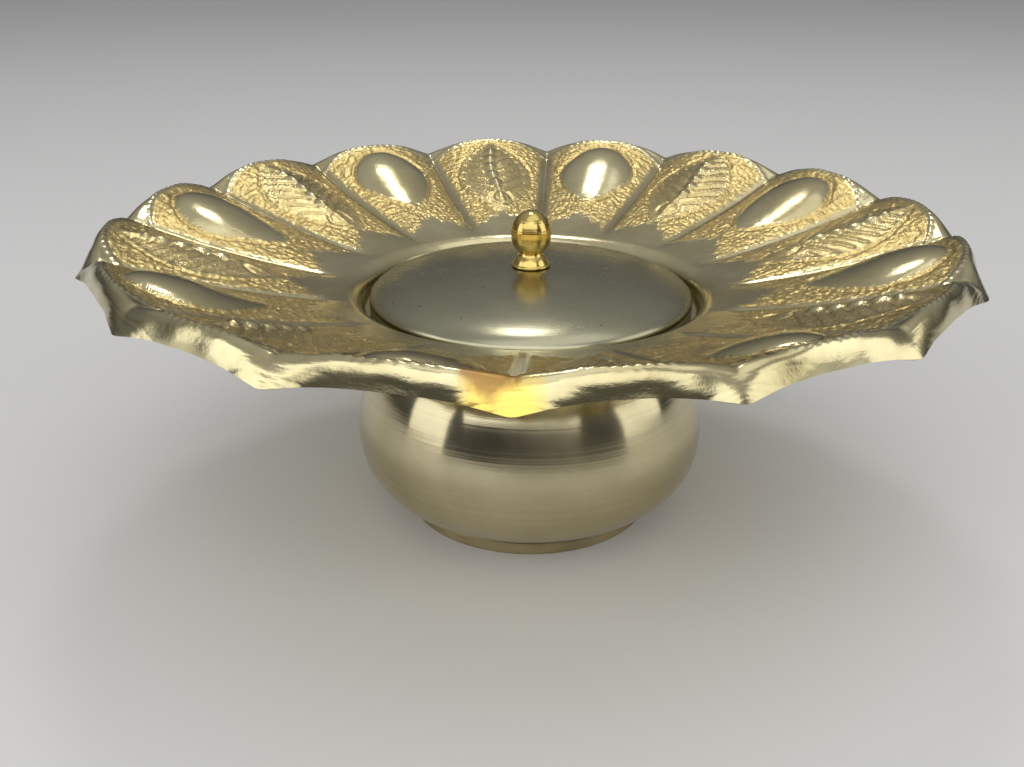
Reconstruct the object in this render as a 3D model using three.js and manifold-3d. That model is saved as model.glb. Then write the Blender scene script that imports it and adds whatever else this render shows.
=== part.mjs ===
// Covered brass oil lamp: a sixteen-petal pressed dish soldered on a spun bowl, with a lift-off domed lid.
// Units are millimetres, +Z is up, and the origin is the centre of the foot, on the table.
import * as THREE from "three";
import { mergeVertices } from "three/addons/utils/BufferGeometryUtils.js";
import Module from "manifold-3d";

const manifold = await Module();
manifold.setup();

// ---- Driving sizes -------------------------------------------------------------------------------------------

const PETALS = 16;
const FIT_GAP = 0.3; // between pieces that touch or are soldered
const LOOSE_GAP = 0.8; // round what lifts out by hand

const DISH_SHEET = 0.7;
const RIM_RADIUS = 89.7; // to the tip of a groove
const RIM_SETBACK = 2.2; // how much less the rim reaches at mid-petal
const LIP_REACH = 5; // from the crest to the tips, in plan
const CREST_RISE = 20.4; // mid-petal crest above the well floor
const LIP_DROP = 3.9; // mid-petal rim below the crest
const GROOVE_DEPTH = 3.4; // groove below the mid-petal crest
const GROOVE_LIP_DROP = 1.9; // groove tip below the groove's own crest
const PETAL_SAG = 2.8; // how far the petals' control point lies below a straight line
const SHOULDER_RISE = 5.1; // the plain wall round the lid
const SHOULDER_REACH = 3.2;

const BOWL_SHEET = 1;
const BOWL_HEIGHT = 45.6; // table to the top of the mouth flange
const BELLY_RADIUS = 38.7;
const BELLY_HEIGHT = 18.2;
const FOOT_RADIUS = 28;
const FOOT_WIDTH = 2.8;
const FOOT_HEIGHT = 3;
const MOUTH_RADIUS = 30.3;
const MOUTH_FLANGE = 3;

const COLLAR_WALL = 0.8;
const COLLAR_DEPTH = 5; // from the well floor down into the bowl's neck
const COLLAR_FLANGE = 2.2;

const LID_SEAT = 4.7; // how far the lid reaches past the bowl's mouth
const LID_SHEET = 0.8;
const LID_EDGE_HEIGHT = 2.6;
const LID_RISE = 6.2; // dome above the edge
const LID_SIDE_GAP = 1.6; // the dark line round the lid
const LID_RING_WALL = 0.8;
const LID_RING_BELOW_SEAT = 4.5;

const BALL_RADIUS = 4.35;
const BALL_HALF_HEIGHT = 5.1;
const NECK_RADIUS = 2.6;
const KNOB_COLLAR_RADIUS = 4.3;
const KNOB_COLLAR_HEIGHT = 2.7;
const STUD_RADIUS = 1.7;
const WASHER_RADIUS = 4.4;
const WASHER_THICKNESS = 0.7;
const NUT_ACROSS_FLATS = 6.6;
const NUT_THICKNESS = 2.4;
const STUD_PAST_NUT = 0.9;

const WICK_BASE_RADIUS = 10;
const WICK_BASE_THICKNESS = 1.4;
const WICK_BOSS_HEIGHT = 1.5;
const WICK_TUBE_RADIUS = 3;
const WICK_TUBE_WALL = 0.7;
const WICK_TUBE_BELOW_MOUTH = 15.3;
const OIL_SLOT_WIDTH = 2;
const OIL_SLOT_HEIGHT = 5;
const WICK_STUB = 5; // cotton above the tube, before it is drawn up

// ---- Materials -----------------------------------------------------------------------------------------------

const brass = (color, roughness) => new THREE.MeshStandardMaterial({ color, roughness, metalness: 1 });
const dishBrass = brass(0xb99a5b, 0.35);
const bowlBrass = brass(0xa8966a, 0.22);
const lidBrass = brass(0xa09468, 0.2);
const knobBrass = brass(0xd0a23a, 0.15);
const plainBrass = brass(0xb08f4f, 0.4);
const cotton = new THREE.MeshStandardMaterial({ color: 0xe9e2cf, roughness: 0.95, metalness: 0 });

// ---- Small tools for sheet and turned pieces -------------------------------------------------------------------

const point = (radius, height) => new THREE.Vector2(radius, height);

// A mesh turned round +Z from a section that closes on itself or on the axis.
function turned(name, section, material, segments) {
  const mesh = new THREE.Mesh(new THREE.LatheGeometry(section, segments).rotateX(Math.PI / 2), material);
  mesh.name = name;
  return mesh;
}

// The closed section of a sheet of this thickness, whose one skin runs along the line of points.
// The metal lies on the left of the line as it is walked, with mitred bends.
function sheet(skin, thickness) {
  const normals = skin.slice(1).map((next, i) => {
    const along = next.clone().sub(skin[i]).normalize();
    return point(-along.y, along.x);
  });
  const otherSkin = skin.map((here, i) => {
    const before = normals[Math.max(i - 1, 0)];
    const after = normals[Math.min(i, normals.length - 1)];
    const mitre = before.clone().add(after).normalize();
    return here.clone().addScaledVector(mitre, thickness / Math.max(0.7, mitre.dot(after)));
  });
  return [...skin, ...otherSkin.reverse(), skin[0].clone()];
}

const ring = (inner, outer, low, high) =>
  [point(inner, low), point(outer, low), point(outer, high), point(inner, high), point(inner, low)];

// ---- Heights and radii that follow from the driving sizes ---------------------------------------------------------

const floorUnderside = BOWL_HEIGHT + FIT_GAP;
const wellFloor = floorUnderside + DISH_SHEET; // where the lid's edge rests
const lidRadius = MOUTH_RADIUS + LID_SEAT;
const wellRadius = lidRadius + LID_SIDE_GAP;
const mouthBore = MOUTH_RADIUS - BOWL_SHEET;
const collarRadius = mouthBore - FIT_GAP;
const collarBottom = wellFloor - COLLAR_DEPTH;
const collarBore = collarRadius - COLLAR_WALL;
const wellHole = collarRadius + FIT_GAP;
const bowlFloorUnderside = FOOT_HEIGHT + FIT_GAP;
const bowlFloor = bowlFloorUnderside + BOWL_SHEET;
const lidEdgeBottom = wellFloor + FIT_GAP;
const lidEdgeTop = lidEdgeBottom + LID_EDGE_HEIGHT;
const lidTop = lidEdgeTop + LID_RISE;
const crestRadius = RIM_RADIUS - LIP_REACH;
const crestHeight = wellFloor + CREST_RISE;

// ---- Petal dish ----------------------------------------------------------------------------------------------

const STEPS_PER_PETAL = 6;
const PETAL_STATIONS = 5;
const LIP_STATIONS = 4;

// One radial line of the dish's top skin, from its hole to its rim: down a ridge or down a groove.
function dishLine(crest, rim) {
  const shoulder = point(wellRadius + SHOULDER_REACH, wellFloor + SHOULDER_RISE);
  const well = [
    point(wellHole, wellFloor),
    point(wellRadius - 0.9, wellFloor),
    point(wellRadius - 0.1, wellFloor + 0.9),
    point(wellRadius + 0.12 * SHOULDER_REACH, wellFloor + 0.5 * SHOULDER_RISE),
    point(wellRadius + 0.45 * SHOULDER_REACH, wellFloor + 0.83 * SHOULDER_RISE),
  ];
  const bend = shoulder.clone().lerp(crest, 0.58);
  bend.y -= PETAL_SAG;
  const petal = new THREE.QuadraticBezierCurve(shoulder, bend, crest).getPoints(PETAL_STATIONS);
  const overTop = crest.clone().add(crest.clone().sub(bend).setLength(0.4 * LIP_REACH));
  const lip = new THREE.QuadraticBezierCurve(crest, overTop, rim).getPoints(LIP_STATIONS);
  return [...well, ...petal, ...lip.slice(1)];
}

const ridgeLine = dishLine(
  point(crestRadius, crestHeight),
  point(RIM_RADIUS - RIM_SETBACK, crestHeight - LIP_DROP),
);
const grooveLine = dishLine(
  point(crestRadius, crestHeight - GROOVE_DEPTH),
  point(RIM_RADIUS, crestHeight - GROOVE_DEPTH - GROOVE_LIP_DROP),
);

// 0 on a petal's ridge and 1 in the groove beside it. A petal is arched, and the groove is a crease.
function grooveShare(angle) {
  const turns = (angle * PETALS) / (2 * Math.PI);
  const acrossPetal = 2 * Math.abs(turns - Math.round(turns)); // 0 in a groove, 1 on a ridge
  return Math.pow(1 - acrossPetal, 2.4);
}

// The lathe turns the ridge's section, and each vertex then sinks towards the groove's line by its angle.
function petalDish() {
  const section = sheet([...ridgeLine].reverse(), DISH_SHEET);
  const sunk = sheet([...grooveLine].reverse(), DISH_SHEET);
  const dish = turned("petal_dish", section, dishBrass, PETALS * STEPS_PER_PETAL);
  const vertices = dish.geometry.getAttribute("position");
  for (let i = 0; i < vertices.count; i++) {
    const angle = Math.atan2(vertices.getY(i), vertices.getX(i));
    const j = i % section.length;
    const place = section[j].clone().lerp(sunk[j], grooveShare(angle));
    vertices.setXYZ(i, place.x * Math.cos(angle), place.x * Math.sin(angle), place.y);
  }
  return dish;
}

// ---- Bowl, foot and collar --------------------------------------------------------------------------------------

// One line up the outside: the floor, the belly, the straight neck that holds the collar, and a flat flange.
function bowlShell() {
  const footJoint = point(FOOT_RADIUS - 0.6, bowlFloorUnderside);
  const flangeHeight = BOWL_HEIGHT - BOWL_SHEET;
  const lower = (out, up) => point(
    footJoint.x + out * (BELLY_RADIUS - footJoint.x),
    footJoint.y + up * (BELLY_HEIGHT - footJoint.y),
  );
  const upper = (out, up) => point(
    MOUTH_RADIUS + out * (BELLY_RADIUS - MOUTH_RADIUS),
    BELLY_HEIGHT + up * (collarBottom - BELLY_HEIGHT),
  );
  const side = new THREE.SplineCurve([
    footJoint,
    lower(0.5, 0.2),
    lower(0.87, 0.56),
    point(BELLY_RADIUS, BELLY_HEIGHT),
    upper(0.92, 0.31),
    upper(0.55, 0.7),
    upper(0, 1),
  ]);
  const skin = [
    point(0, bowlFloorUnderside),
    ...side.getPoints(14),
    point(MOUTH_RADIUS, flangeHeight - 0.5),
    point(MOUTH_RADIUS + 0.5, flangeHeight),
    point(MOUTH_RADIUS + MOUTH_FLANGE, flangeHeight),
  ];
  return turned("bowl_shell", sheet(skin, BOWL_SHEET), bowlBrass, 40);
}

const footRing = () => turned(
  "foot_ring",
  ring(FOOT_RADIUS - FOOT_WIDTH, FOOT_RADIUS, 0, FOOT_HEIGHT),
  bowlBrass,
  40,
);

// Centres the dish on the bowl: its flange lies on the well floor and its tube drops into the mouth.
function mouthCollar() {
  const flangeLow = wellFloor + FIT_GAP;
  const flangeHigh = flangeLow + COLLAR_WALL;
  return turned("mouth_collar", [
    point(collarBore, collarBottom),
    point(collarRadius, collarBottom),
    point(collarRadius, flangeLow),
    point(collarRadius + COLLAR_FLANGE, flangeLow),
    point(collarRadius + COLLAR_FLANGE, flangeHigh),
    point(collarBore, flangeHigh),
    point(collarBore, collarBottom),
  ], plainBrass, 40);
}

// ---- Lid and its knob -------------------------------------------------------------------------------------------

const domeHeight = (radius) => lidEdgeTop + LID_RISE * Math.sqrt(Math.max(0, 1 - (radius / lidRadius) ** 2));

function lidShell() {
  const holeAngle = Math.asin((STUD_RADIUS + FIT_GAP) / lidRadius);
  const dome = [];
  for (let i = 0; i <= 9; i++) {
    const angle = Math.PI / 2 + ((holeAngle - Math.PI / 2) * i) / 9;
    const radius = lidRadius * Math.sin(angle);
    dome.push(point(radius, domeHeight(radius)));
  }
  return turned("lid_shell", sheet([point(lidRadius, lidEdgeBottom), ...dome], LID_SHEET), lidBrass, 40);
}

// Soldered under the lid, it drops inside the collar so that the lid can't slide.
function lidLocatingRing() {
  const outer = collarBore - LOOSE_GAP;
  const high = domeHeight(outer) - 1.2 * LID_SHEET - FIT_GAP;
  return turned(
    "lid_locating_ring",
    ring(outer - LID_RING_WALL, outer, wellFloor - LID_RING_BELOW_SEAT, high),
    plainBrass,
    40,
  );
}

const knobSeat = lidTop + FIT_GAP;
const lidUnderside = lidTop - LID_SHEET;
const washerTop = lidUnderside - FIT_GAP;
const nutTop = washerTop - WASHER_THICKNESS - FIT_GAP;
const nutBottom = nutTop - NUT_THICKNESS;

// The ball, neck, collar and stud are turned from one bar.
function knobFinial() {
  const ballMiddle = knobSeat + KNOB_COLLAR_HEIGHT + BALL_HALF_HEIGHT * Math.sqrt(1 - (NECK_RADIUS / BALL_RADIUS) ** 2);
  const neckAngle = Math.asin(NECK_RADIUS / BALL_RADIUS);
  const section = [
    point(0, nutBottom - STUD_PAST_NUT),
    point(STUD_RADIUS, nutBottom - STUD_PAST_NUT),
    point(STUD_RADIUS, knobSeat),
    point(KNOB_COLLAR_RADIUS, knobSeat),
    point(KNOB_COLLAR_RADIUS, knobSeat + 0.25 * KNOB_COLLAR_HEIGHT),
    point(NECK_RADIUS + 0.3, knobSeat + 0.9 * KNOB_COLLAR_HEIGHT),
  ];
  for (let i = 0; i <= 12; i++) {
    const angle = Math.PI - neckAngle - ((Math.PI - neckAngle) * i) / 12;
    section.push(point(BALL_RADIUS * Math.sin(angle), ballMiddle + BALL_HALF_HEIGHT * Math.cos(angle)));
  }
  section[section.length - 1].x = 0;
  return turned("knob_finial", section, knobBrass, 32);
}

const knobWasher = () => turned(
  "knob_washer",
  ring(STUD_RADIUS + FIT_GAP, WASHER_RADIUS, washerTop - WASHER_THICKNESS, washerTop),
  plainBrass,
  32,
);

function knobNut() {
  const corner = NUT_ACROSS_FLATS / Math.sqrt(3);
  const outline = new THREE.Shape();
  for (let i = 0; i < 6; i++) {
    const angle = (i * Math.PI) / 3;
    const go = i ? "lineTo" : "moveTo";
    outline[go](corner * Math.cos(angle), corner * Math.sin(angle));
  }
  outline.closePath();
  outline.holes.push(new THREE.Path().absarc(0, 0, STUD_RADIUS + FIT_GAP, 0, 2 * Math.PI, true));
  const geometry = new THREE.ExtrudeGeometry(outline, { depth: NUT_THICKNESS, bevelEnabled: false, curveSegments: 12 });
  const nut = new THREE.Mesh(geometry, plainBrass);
  nut.name = "knob_nut";
  nut.position.z = nutBottom;
  return nut;
}

// ---- Wick holder, soldered to the bowl's floor -------------------------------------------------------------------

const wickBaseBottom = bowlFloor + FIT_GAP;
const wickTubeBottom = wickBaseBottom + WICK_BASE_THICKNESS + FIT_GAP;
const wickTubeTop = BOWL_HEIGHT - WICK_TUBE_BELOW_MOUTH;

// A round foot with a raised boss that centres the tube.
function wickBase() {
  const boss = WICK_TUBE_RADIUS - WICK_TUBE_WALL - FIT_GAP;
  const top = wickBaseBottom + WICK_BASE_THICKNESS;
  return turned("wick_base", [
    point(0, wickBaseBottom),
    point(WICK_BASE_RADIUS, wickBaseBottom),
    point(WICK_BASE_RADIUS, top - 0.5),
    point(WICK_BASE_RADIUS - 0.8, top),
    point(boss, top),
    point(boss, top + WICK_BOSS_HEIGHT),
    point(0, top + WICK_BOSS_HEIGHT),
  ], plainBrass, 32);
}

function solid(geometry) {
  const bare = geometry.clone().deleteAttribute("normal").deleteAttribute("uv");
  const merged = mergeVertices(bare, 1e-4);
  return new manifold.Manifold(new manifold.Mesh({
    numProp: 3,
    vertProperties: new Float32Array(merged.getAttribute("position").array),
    triVerts: new Uint32Array(merged.index.array),
  }));
}

function geometryOf(made) {
  const mesh = made.getMesh();
  const geometry = new THREE.BufferGeometry();
  geometry.setAttribute("position", new THREE.BufferAttribute(mesh.vertProperties, 3));
  geometry.setIndex(new THREE.BufferAttribute(mesh.triVerts, 1));
  return geometry;
}

// A plain tube with a cross slot at its foot, where the oil runs in to the cotton.
function wickTube() {
  const bore = WICK_TUBE_RADIUS - WICK_TUBE_WALL;
  const tube = turned("wick_tube", ring(bore, WICK_TUBE_RADIUS, wickTubeBottom, wickTubeTop), plainBrass, 32);
  const slot = new THREE.BoxGeometry(3 * WICK_TUBE_RADIUS, OIL_SLOT_WIDTH, OIL_SLOT_HEIGHT);
  slot.translate(0, 0, wickTubeBottom + 3 + OIL_SLOT_HEIGHT / 2);
  tube.geometry = geometryOf(solid(tube.geometry).subtract(solid(slot)));
  return tube;
}

// Twisted cotton, tight in the tube and a little frayed out at the burning end.
function cottonWick() {
  const radius = WICK_TUBE_RADIUS - WICK_TUBE_WALL - FIT_GAP;
  const low = wickTubeBottom + WICK_BOSS_HEIGHT;
  return turned("cotton_wick", [
    point(0, low),
    point(radius, low),
    point(radius, wickTubeTop + 0.5 * WICK_STUB),
    point(0.7 * radius, wickTubeTop + 0.85 * WICK_STUB),
    point(0, wickTubeTop + WICK_STUB),
  ], cotton, 20);
}

// ---- Assembly --------------------------------------------------------------------------------------------------

const body = new THREE.Group();
body.add(petalDish(), bowlShell(), footRing(), mouthCollar());

const wickHolder = new THREE.Group();
wickHolder.add(wickBase(), wickTube(), cottonWick());

const lid = new THREE.Group();
lid.add(lidShell(), lidLocatingRing());

const knob = new THREE.Group();
knob.add(knobFinial(), knobWasher(), knobNut());

const lamp = new THREE.Group();
lamp.add(body, wickHolder, lid, knob);

export default lamp;
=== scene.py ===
import math

import bpy
import numpy as np
from mathutils import Matrix, Vector


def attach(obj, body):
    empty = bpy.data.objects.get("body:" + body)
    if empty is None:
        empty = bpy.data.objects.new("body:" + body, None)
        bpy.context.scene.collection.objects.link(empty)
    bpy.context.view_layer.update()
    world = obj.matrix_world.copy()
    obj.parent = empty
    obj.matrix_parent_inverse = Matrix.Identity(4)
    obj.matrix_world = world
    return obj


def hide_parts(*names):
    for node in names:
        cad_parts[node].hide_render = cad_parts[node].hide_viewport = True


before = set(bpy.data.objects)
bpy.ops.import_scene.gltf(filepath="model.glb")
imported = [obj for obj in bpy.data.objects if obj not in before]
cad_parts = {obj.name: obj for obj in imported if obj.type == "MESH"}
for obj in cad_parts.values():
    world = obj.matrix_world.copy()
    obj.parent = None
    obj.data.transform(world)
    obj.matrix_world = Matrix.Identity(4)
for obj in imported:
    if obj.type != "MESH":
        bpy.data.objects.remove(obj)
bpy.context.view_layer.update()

MM = 0.001

# ---- Table, light and camera -------------------------------------------------------------------------
# The lamp stands on a plain pale table in a plain room, lit by large soft boxes above it and beside it.
# None of this is part of the lamp. The camera looks down on the lamp from a little above the dish.

eye = Vector((11.23, -218.44, 122.8)) * MM
turn_left, look_down, tilt = math.radians(3.987), math.radians(23.485), math.radians(0.19)
forward = Vector((
    -math.sin(turn_left) * math.cos(look_down),
    math.cos(turn_left) * math.cos(look_down),
    -math.sin(look_down),
))
level_right = forward.cross(Vector((0, 0, 1))).normalized()
level_up = level_right.cross(forward)
right = level_right * math.cos(tilt) + level_up * math.sin(tilt)
up = level_up * math.cos(tilt) - level_right * math.sin(tilt)

camera = bpy.data.objects.new("camera", bpy.data.cameras.new("camera"))
camera.data.lens = 36.9
camera.data.sensor_width = 36
camera.data.clip_start = 0.01
camera.data.clip_end = 50
camera.matrix_world = Matrix((
    (right.x, up.x, -forward.x, eye.x),
    (right.y, up.y, -forward.y, eye.y),
    (right.z, up.z, -forward.z, eye.z),
    (0, 0, 0, 1),
))
bpy.context.scene.collection.objects.link(camera)
bpy.context.scene.camera = camera
bpy.context.scene.view_settings.view_transform = "Standard"


def material(name):
    """A new node material, with its tree and its shader."""
    made = bpy.data.materials.new(name)
    made.use_nodes = True
    return made, made.node_tree, made.node_tree.nodes["Principled BSDF"]


def feed(tree, value, socket):
    """Gives an input socket a link from another node, or a number, a vector or a colour of its own."""
    if isinstance(value, bpy.types.NodeSocket):
        tree.links.new(value, socket)
    elif socket.type == "RGBA":
        socket.default_value = (*value, 1)
    else:
        socket.default_value = value


def node(tree, kind, **settings):
    """Adds a shader node. A setting is one of the node's own properties, or an input socket by its name
    with _ for a space. The properties are set first, because they decide which sockets there are.
    """
    made = tree.nodes.new("ShaderNode" + kind)
    for name in [name for name in settings if hasattr(made, name)]:
        setattr(made, name, settings.pop(name))
    for name, value in settings.items():
        feed(tree, value, made.inputs[name.replace("_", " ")])
    return made


def between(tree, low, high, value, out_low=0.0, out_high=1.0):
    """Maps a value from one range to another, held at both ends."""
    ranged = node(tree, "MapRange", Value=value, From_Min=low, From_Max=high, To_Min=out_low, To_Max=out_high)
    return ranged.outputs[0]


def blend_colour(tree, share, first, second):
    """A mix of two colours: all of the first at share 0, all of the second at share 1."""
    mix = tree.nodes.new("ShaderNodeMix")
    mix.data_type = "RGBA"
    share_socket, first_socket, second_socket = mix.inputs[0], mix.inputs[6], mix.inputs[7]
    feed(tree, share, share_socket)
    feed(tree, first, first_socket)
    feed(tree, second, second_socket)
    return mix.outputs[2]


TABLE_REACH = 15
TABLE_GREY, TABLE_PALE = (0.76, 0.755, 0.745), (0.80, 0.795, 0.785)
table_material, tree, shader = material("table_top")
place = node(tree, "TexCoord").outputs["Object"]
cloudy = node(tree, "TexNoise", Vector=place, Scale=3.0, Detail=3.0).outputs[0]
tree.links.new(blend_colour(tree, cloudy, TABLE_GREY, TABLE_PALE), shader.inputs["Base Color"])
shader.inputs["Roughness"].default_value = 0.62
table_mesh = bpy.data.meshes.new("table_top")
table_corners = [(x * TABLE_REACH, y * TABLE_REACH, 0) for x, y in ((-1, -1), (1, -1), (1, 1), (-1, 1))]
table_mesh.from_pydata(table_corners, [], [(0, 1, 2, 3)])
table_mesh.materials.append(table_material)
table_top = bpy.data.objects.new("table_top", table_mesh)
bpy.context.scene.collection.objects.link(table_top)

# The room is dark at table height and pale overhead, and the wall behind the camera is dark all the way up.
WALL, CEILING, CAMERA_WALL = (0.050, 0.050, 0.050), (0.46, 0.46, 0.47), (0.045, 0.045, 0.046)
room = bpy.data.worlds.new("room")
bpy.context.scene.world = room
room.use_nodes = True
tree = room.node_tree
direction = node(tree, "SeparateXYZ", Vector=node(tree, "TexCoord").outputs["Generated"])
walls = blend_colour(tree, between(tree, 0.05, 0.9, direction.outputs["Z"]), WALL, CEILING)
walls = blend_colour(tree, between(tree, -0.9, -0.3, direction.outputs["Y"]), CAMERA_WALL, walls)
tree.links.new(walls, tree.nodes["Background"].inputs["Color"])
tree.nodes["Background"].inputs["Strength"].default_value = 1.0

LAMP_MIDDLE = Vector((0, 0, 0.05))


def soft_box(name, place, size, watts, colour=(1, 1, 1), shape="RECTANGLE"):
    """A large soft light at a place in metres, with its width and depth, facing the middle of the lamp."""
    box = bpy.data.objects.new(name, bpy.data.lights.new(name, "AREA"))
    box.data.shape = shape
    box.data.size, box.data.size_y = size
    box.data.energy = watts
    box.data.color = colour
    box.location = place
    box.rotation_euler = (LAMP_MIDDLE - Vector(place)).to_track_quat("-Z", "Y").to_euler()
    bpy.context.scene.collection.objects.link(box)


soft_box("box_high_back", place=(-0.06, 0.53, 1.12), size=(0.26, 0.15), watts=1.1, colour=(1, 0.98, 0.95),
         shape="ELLIPSE")
soft_box("box_overhead", place=(0.20, -0.20, 1.45), size=(1.6, 1.0), watts=3.4)
soft_box("box_over_front", place=(-0.05, -1.04, 0.92), size=(2.1, 0.86), watts=8.4)
soft_box("box_left", place=(-1.00, -0.44, 0.42), size=(0.60, 0.8), watts=2.3)
soft_box("box_right", place=(1.06, -0.13, 0.45), size=(0.70, 0.8), watts=2.4, colour=(1, 0.99, 0.97))

# ---- Foot ring ---------------------------------------------------------------------------------------
# A plain turned band of brass soldered under the bowl. The lamp stands on its flat underside, and a thin dark
# line is painted along the joint above it.


def section_of(*corners, closed=True):
    """Corners (radius, height, rounding) in mm to a dense outline with rounded corners. A rounding takes up
    less than half of the shorter side next to it.
    """
    points = []
    most_of_side, arc_steps = 0.48, 5
    count = len(corners)
    for i, (radius, height, rounding) in enumerate(corners):
        here = Vector((radius, height))
        if not rounding or (not closed and i in (0, count - 1)):
            points.append(here)
            continue
        before = Vector(corners[i - 1][:2]) - here
        after = Vector(corners[(i + 1) % count][:2]) - here
        reach = min(rounding, most_of_side * before.length, most_of_side * after.length)
        start, end = here + before.normalized() * reach, here + after.normalized() * reach
        for step in range(arc_steps + 1):
            t = step / arc_steps
            points.append(start * (1 - t) ** 2 + here * 2 * t * (1 - t) + end * t * t)
    return points


def turned(name, section, steps=192, sharp=40):
    """A smooth mesh turned round +Z. The section is closed, or starts and ends on the axis."""
    on_axis = section[0].x < 1e-6
    inner = section[1:-1] if on_axis else section
    angles = np.arange(steps) * 2 * math.pi / steps
    ring = np.array([(p.x, p.y) for p in inner])
    vertices = np.stack([
        np.outer(ring[:, 0], np.cos(angles)),
        np.outer(ring[:, 0], np.sin(angles)),
        np.outer(ring[:, 1], np.ones(steps)),
    ], axis=-1).reshape(-1, 3)
    rows = len(inner)
    faces = []
    for i in range(rows - 1 if on_axis else rows):
        a, b = i * steps, (i + 1) % rows * steps
        faces += [(a + j, a + (j + 1) % steps, b + (j + 1) % steps, b + j) for j in range(steps)]
    if on_axis:
        first, last = len(vertices), len(vertices) + 1
        vertices = np.vstack([vertices, (0, 0, section[0].y), (0, 0, section[-1].y)])
        end = (rows - 1) * steps
        faces += [(first, (j + 1) % steps, j) for j in range(steps)]
        faces += [(last, end + j, end + (j + 1) % steps) for j in range(steps)]
    return finished_mesh(name, vertices, faces, sharp)


def finished_mesh(name, vertices_mm, faces, sharp):
    """A smooth shaded object, with its edges left sharp where they turn by more than sharp degrees."""
    mesh = bpy.data.meshes.new(name)
    mesh.from_pydata((np.asarray(vertices_mm) * MM).tolist(), [], faces)
    mesh.update()
    mesh.shade_smooth()
    mesh.set_sharp_from_angle(angle=math.radians(sharp))
    piece = bpy.data.objects.new(name, mesh)
    bpy.context.scene.collection.objects.link(piece)
    return piece


def stands_for(piece, cad_node, body, finish):
    """The piece takes the place of a CAD solid, in its own finish."""
    piece.data.materials.append(finish)
    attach(piece, body)
    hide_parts(cad_node)


def maths(tree, operation, *values):
    """One step of arithmetic on sockets and numbers."""
    step = node(tree, "Math", operation=operation)
    for value, socket in zip(values, step.inputs):
        feed(tree, value, socket)
    return step.outputs[0]


def out_from_axis(tree, place):
    """How far a place is from the lamp's upright axis, in metres."""
    split = node(tree, "SeparateXYZ", Vector=place)
    level = node(tree, "CombineXYZ", X=split.outputs["X"], Y=split.outputs["Y"]).outputs[0]
    return node(tree, "VectorMath", operation="LENGTH", Vector=level).outputs["Value"]


def brass(name, bright, dull, roughness, line_pitch, line_depth, lines_along, patch_size=0.02, specks=0.0,
          stretch=0.6, line_shade=0.2, seam=None):
    """Brass that was spun or turned: fine tool lines round the axis, cloudy tarnish, and a few dark specks.
    Lengths are in metres. lines_along is what the lines follow one after another: "height" on a side wall,
    "radius" on a flat face. specks is the share of cells that hold a speck. seam is the height of a soldered
    joint, where a thin dark line is painted.
    """
    speck_brown, seam_dark = (0.09, 0.06, 0.03), (0.08, 0.055, 0.03)
    made, tree, shader = material(name)
    place = node(tree, "TexCoord").outputs["Object"]
    height = node(tree, "SeparateXYZ", Vector=place).outputs["Z"]
    along = height if lines_along == "height" else out_from_axis(tree, place)

    # The lines wander by up to 0.6 mm, as a tool held by hand does.
    wander = node(tree, "TexNoise", Vector=place, Scale=18.0, Detail=1.0).outputs[0]
    wandering = maths(tree, "MULTIPLY_ADD", wander, 0.0006, along)
    lines = node(tree, "TexNoise", noise_dimensions="1D", W=wandering, Scale=1 / line_pitch, Detail=3.0,
                 Roughness=0.65).outputs[0]
    clouds = node(tree, "TexNoise", Vector=place, Scale=1 / patch_size, Detail=6.0, Roughness=0.62).outputs[0]
    smear = node(tree, "TexNoise", Vector=place, Scale=2.7 / patch_size, Detail=3.0).outputs[0]

    # Tarnish dulls the metal in clouds, and the bottoms of the tool lines hold a darker shade of it.
    tarnish = between(tree, 0.40, 0.72, clouds)
    colour = blend_colour(tree, tarnish, bright, dull)
    in_the_lines = [0.55 * part for part in dull]
    colour = blend_colour(tree, between(tree, 0.3, 0.7, lines, 0.0, line_shade), colour, in_the_lines)
    if specks:
        cells = node(tree, "TexVoronoi", Vector=place, Scale=330.0, Randomness=1.0)
        lot = node(tree, "SeparateColor", Color=cells.outputs["Color"]).outputs[0]
        chosen = maths(tree, "GREATER_THAN", lot, 1 - specks)
        near_middle = maths(tree, "LESS_THAN", cells.outputs["Distance"], 0.08)
        colour = blend_colour(tree, maths(tree, "MULTIPLY", chosen, near_middle), colour, speck_brown)
    if seam:
        # A thin dark line is painted along the seam.
        from_seam = maths(tree, "ABSOLUTE", maths(tree, "SUBTRACT", height, seam))
        seam_darkening = between(tree, 0.0009, 0.0002, from_seam, 0.0, 0.8)
        colour = blend_colour(tree, seam_darkening, colour, seam_dark)
    tree.links.new(colour, shader.inputs["Base Color"])
    shader.inputs["Metallic"].default_value = 1.0

    # Smears and tarnish are a little rougher than clean metal, and reflections stretch across the tool lines.
    rough = maths(tree, "MULTIPLY_ADD", smear, 0.14, roughness - 0.07)
    rough = maths(tree, "MULTIPLY_ADD", tarnish, 0.10, rough)
    tree.links.new(rough, shader.inputs["Roughness"])
    shader.inputs["Anisotropic"].default_value = stretch
    shader.inputs["Anisotropic Rotation"].default_value = 0.25
    round_axis = node(tree, "Tangent", direction_type="RADIAL", axis="Z").outputs[0]
    tree.links.new(round_axis, shader.inputs["Tangent"])
    bump = node(tree, "Bump", Height=lines, Distance=line_depth, Strength=1.0)
    bump = node(tree, "Bump", Height=smear, Distance=0.00004, Strength=0.6, Normal=bump.outputs[0])
    tree.links.new(bump.outputs[0], shader.inputs["Normal"])
    return made


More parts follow.
